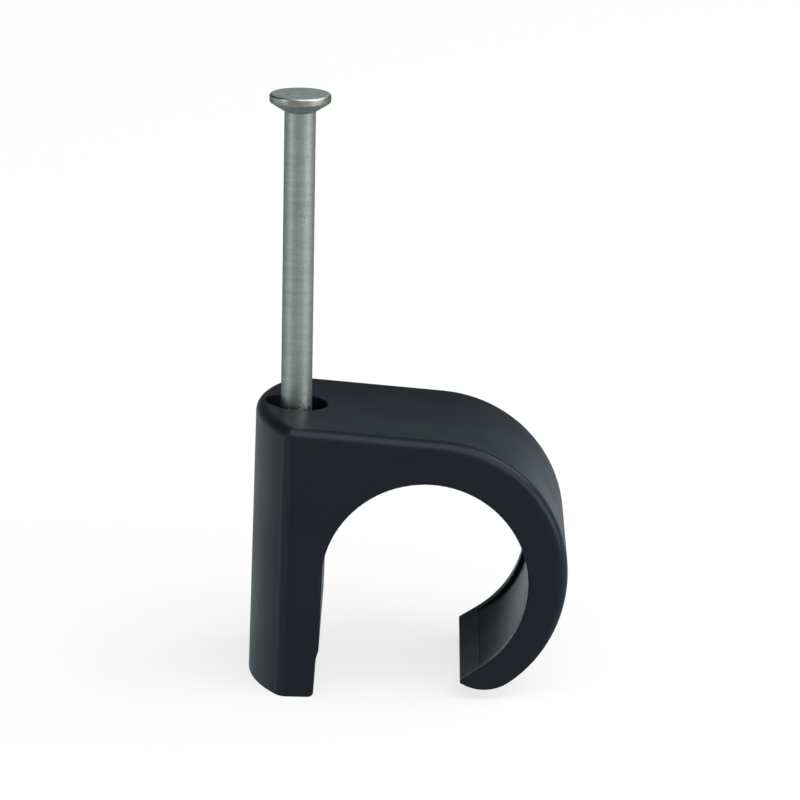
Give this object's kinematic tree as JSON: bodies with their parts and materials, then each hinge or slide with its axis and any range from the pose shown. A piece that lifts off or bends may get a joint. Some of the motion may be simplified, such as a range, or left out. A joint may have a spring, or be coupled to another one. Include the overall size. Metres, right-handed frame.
{
  "type": "nail-in cable clip",
  "caption": "Nail-in cable clip: a black moulded plastic hook on a solid post, with a zinc-plated masonry nail started in the post.",
  "frame": {"origin": "on the nail's axis, in the plane of the post's foot, which is the wall that the clip is nailed to", "axes": "+Z along the nail, out of the wall; +X from the post to the hook; +Y along the cable"},
  "size_m": [0.0255, 0.0168, 0.0474],
  "materials": {
    "clip_plastic": "injection-moulded black plastic, satin",
    "nail_steel": "hardened steel, drawn and zinc plated, satin"
  },
  "bodies": {
    "root": {"clip_body": "clip_plastic", "nail": "nail_steel"}
  },
  "joints": []
}
